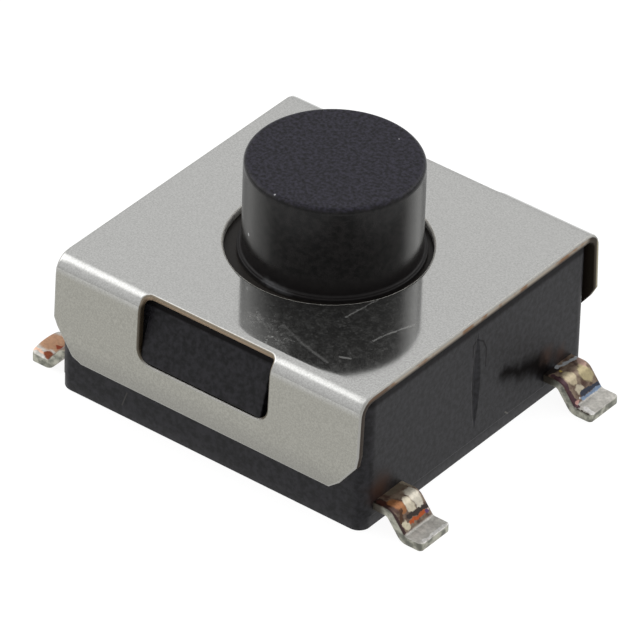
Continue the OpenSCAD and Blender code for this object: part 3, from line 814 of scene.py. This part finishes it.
# %% Silver-plated brass
def plated_brass():
    """Brass with a thin silver coat that soldering heat has stained: silver on the foot, cream, brown,
    orange and blue on the slope where the tarnish is thick, and grey-green on the punched edges. A
    stain's place is how far out along the lead it is and how far across, plus ten times the lead's
    number, so that each lead carries its own. A few marks among them are painted light: white
    highlights along two feet's tips, and painted shade at one foot's corner."""
    made, tree, place = material("silver_plated_brass")
    out, across = (node(tree, "Attribute", attribute_name=name).outputs["Fac"] for name in ("out", "across"))
    spread = node(tree, "CombineXYZ", {0: out, 1: across}).outputs[0]
    ragged = warped(tree, spread, 11.0, 0.12)
    cloud = node(tree, "TexNoise", {"Vector": place, "Scale": 7.0, "Detail": 4.0}).outputs["Fac"]
    fine = node(tree, "TexNoise", {"Vector": place, "Scale": 20.0, "Detail": 3.0}).outputs["Fac"]
    brown = blend(tree, between(tree, cloud, 0.35, 0.65), "#5A3E33", "#A08C78")
    silver = blend(tree, between(tree, cloud, 0.3, 0.7), "#BDBAB3", "#DDDAD3")
    colour = blend(tree, between(tree, out, 0.68, 0.78), brown, silver)
    for start, end, width, tint in lead_stains_and_painted_light:
        colour = blend(tree, stroke(tree, ragged, (*start, 0), (*end, 0), width, 0.35), colour, tint)
    grime = combined(tree, "MULTIPLY", between(tree, fine, 0.35, 0.6, 0.84, 1.0), between(tree, out, 0.72, 0.9, 0.6, 0.95))
    colour = node(tree, "VectorMath", {0: colour, "Scale": grime}, operation="SCALE").outputs[0]
    cut = node(tree, "Attribute", attribute_name="cut").outputs["Fac"]
    edge = blend(tree, between(tree, cloud, 0.35, 0.65), "#62635A", "#A9A89B")
    edge = blend(tree, between(tree, out, 0.3, 0.12), edge, "#3E3931")
    colour = blend(tree, cut, colour, edge)
    shader = node(tree, "BsdfPrincipled", {"Base Color": colour, "Metallic": 0.6,
                                           "Roughness": between(tree, out, 0.6, 0.8, 0.42, 0.5)})
    finish_with(tree, shader.outputs[0])
    return made


# %% Stains on the leads, and painted highlights and shade on two feet: from (out, across), to (out, across), width, colour; the number times ten is added
lead_stains_and_painted_light = [
    ((0.0, 9.6), (0.1, 9.7), 0.2, "#1A100C"), ((0.0, 19.6), (0.05, 19.9), 0.16, "#201612"),
    ((0.03, 9.97), (0.05, 10.32), 0.22, "#7E705E"), ((0.05, 10.32), (0.2, 10.36), 0.12, "#B4A690"),
    ((0.1, 9.7), (0.2, 9.72), 0.16, "#4A2014"), ((0.25, 9.8), (0.35, 9.86), 0.2, "#B4784A"),
    ((0.27, 10.22), (0.42, 10.22), 0.24, "#F4ECDA"), ((0.34, 10.03), (0.45, 10.02), 0.2, "#EFE4CC"),
    ((0.52, 9.88), (0.54, 10.36), 0.09, "#40342E"), ((0.61, 9.86), (0.6, 10.24), 0.08, "#D0622A"),
    ((0.62, 10.27), (0.62, 10.29), 0.07, "#6E4C80"), ((0.6, 10.33), (0.6, 10.34), 0.05, "#EAD6D2"),
    ((0.59, 9.75), (0.63, 9.78), 0.14, "#F0E6C8"), ((0.37, 9.82), (0.52, 9.7), 0.08, "#5A3A22"),
    ((0.05, 19.9), (0.14, 20.36), 0.09, "#CDD2D6"), ((0.2, 20.32), (0.3, 20.25), 0.14, "#CDAA9A"),
    ((0.32, 19.85), (0.34, 19.87), 0.24, "#D8C8A8"), ((0.38, 20.17), (0.43, 20.22), 0.28, "#CEBF94"),
    ((0.53, 19.9), (0.55, 19.94), 0.2, "#DDD1B8"), ((0.62, 19.9), (0.64, 20.38), 0.09, "#3A4152"),
    ((0.7, 19.88), (0.71, 20.36), 0.09, "#8FA5C2"), ((0.15, 19.68), (0.8, 19.68), 0.12, "#54343C"),
    ((0.15, 19.86), (0.15, 19.87), 0.07, "#DCC464"), ((0.67, 19.82), (0.67, 19.83), 0.05, "#FFFFFF"),
    ((0.7, 19.72), (0.7, 19.74), 0.09, "#DDAAA0"),
    # Next two lines: a brown line on lead 1, painted highlights along the tips of leads 1 and 2, and painted shade at a
    # corner of lead 2's foot.
    ((0.22, 9.65), (0.7, 9.65), 0.08, "#4A3230"), ((1.1, 9.72), (1.1, 10.3), 0.08, "#F1EFEC"),
    ((0.92, 19.74), (1.1, 19.7), 0.1, "#F1EFEC"), ((0.86, 19.63), (1.12, 19.63), 0.05, "#54463C"),
    ((1.02, 30.0), (0.8, 30.12), 0.5, "#B98F70"), ((1.14, 29.7), (0.82, 29.72), 0.07, "#F0C8B0"),
    ((0.72, 29.72), (0.86, 29.74), 0.2, "#8A4422"), ((0.86, 29.98), (0.82, 30.02), 0.13, "#903C1E"),
    ((0.7, 29.88), (0.72, 29.9), 0.1, "#BE965C"), ((1.0, 30.32), (0.8, 30.36), 0.16, "#B0A99C")]
lead_plating = plated_brass()

# %% Give every piece its finish and its body
def dress(made, finish, body, slot, *nodes):
    """Sets a piece's material, its body, and the CAD nodes it stands for. Its slot argument is not used."""
    made.data.materials.clear()
    made.data.materials.append(finish)
    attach(made, body)
    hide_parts(*nodes)


dress(button, button_plastic, "button", "button_plastic", "button")
dress(cover, cover_steel, "body", "cover_steel", "cover")
dress(housing, housing_plastic, "body", "housing_plastic", "housing")
dress(centre_leads, lead_plating, "body", "lead_plating", "centre_contact_leads")
dress(rim_leads, lead_plating, "body", "lead_plating", "rim_contact_leads")
dress(snap_disc, cover_steel, "body", "disc_steel", "snap_disc")
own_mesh(snap_disc)

# %% [markdown]
# ## Studio
# A pale table that glows faintly, so that its shadows stay weak, under a soft sky. The sky is dark
# on the camera's side, which is what makes the button's front dark. Three round patches are
# brighter: one overhead that draws the line along the front fold, and one behind on each side, which
# draw the light bands down the button's flanks and their mirror images in the plate.

# %% Brightness of the sky: at the horizon, overhead, and the patches (way, radii in degrees, strength)
sky_low, sky_high = 0.8, 1.06
sky_lights = [((-0.489, -0.18, 0.853), 3, 22, 0.42), ((-0.775, -0.2, 0.583), 8, 29, 1.8),
              ((0.26, 0.77, 0.583), 8, 21, 2.65)]

# %% Table
table = bpy.data.meshes.new("table")
table.from_pydata([(-0.6, -0.6, 0), (0.6, -0.6, 0), (0.6, 0.6, 0), (-0.6, 0.6, 0)], [], [(0, 1, 2, 3)])
table = bpy.data.objects.new("table", table)
bpy.context.scene.collection.objects.link(table)
paper = bpy.data.materials.new("white_paper")
paper.use_nodes = True
paper.node_tree.nodes.clear()
paper_shader = node(paper.node_tree, "BsdfPrincipled", {"Base Color": (0.15, 0.15, 0.15, 1), "Roughness": 0.9,
                                                         "Emission Color": (1, 1, 1, 1), "Emission Strength": 0.92})
paper_shader.inputs["Specular IOR Level"].default_value = 0.0
finish_with(paper.node_tree, paper_shader.outputs[0])
table.data.materials.append(paper)

# %% Sky and lights
world = bpy.data.worlds.new("studio")
bpy.context.scene.world = world
world.use_nodes = True
world.node_tree.nodes.clear()
sky_way = node(world.node_tree, "TexCoord").outputs["Generated"]


def lobe(way, inner, outer, at_edge, at_middle):
    """A soft round patch of sky: a number that goes smoothly from one value, outer degrees or more
    off a direction, to another, inner degrees or less off it."""
    way = tuple(np.array(way) / np.linalg.norm(way))
    off = node(world.node_tree, "VectorMath", {0: sky_way, 1: way}, operation="DOT_PRODUCT").outputs["Value"]
    limits = {"Value": off, "From Min": math.cos(math.radians(outer)), "From Max": math.cos(math.radians(inner)),
              "To Min": at_edge, "To Max": at_middle}
    return node(world.node_tree, "MapRange", limits, interpolation_type="SMOOTHSTEP").outputs[0]


def joined(first, second, how):
    """Two numbers of the sky added or multiplied."""
    return node(world.node_tree, "Math", {0: first, 1: second}, operation=how).outputs[0]


sky_up = node(world.node_tree, "SeparateXYZ", {0: sky_way}).outputs[2]
tone = node(world.node_tree, "MapRange", {"Value": sky_up, "From Min": 0.0, "From Max": 0.6,
                                          "To Min": sky_low, "To Max": sky_high}).outputs[0]
tone = joined(tone, lobe(back, 18, 60, 1.0, 0.75), "MULTIPLY")
for way, inner, outer, strength in sky_lights:
    tone = joined(tone, lobe(way, inner, outer, 0.0, strength), "ADD")
background = node(world.node_tree, "Background", {"Color": (1, 1, 1, 1), "Strength": tone})
node(world.node_tree, "OutputWorld", {"Surface": background.outputs[0]})
bpy.context.scene.view_settings.view_transform = "Standard"
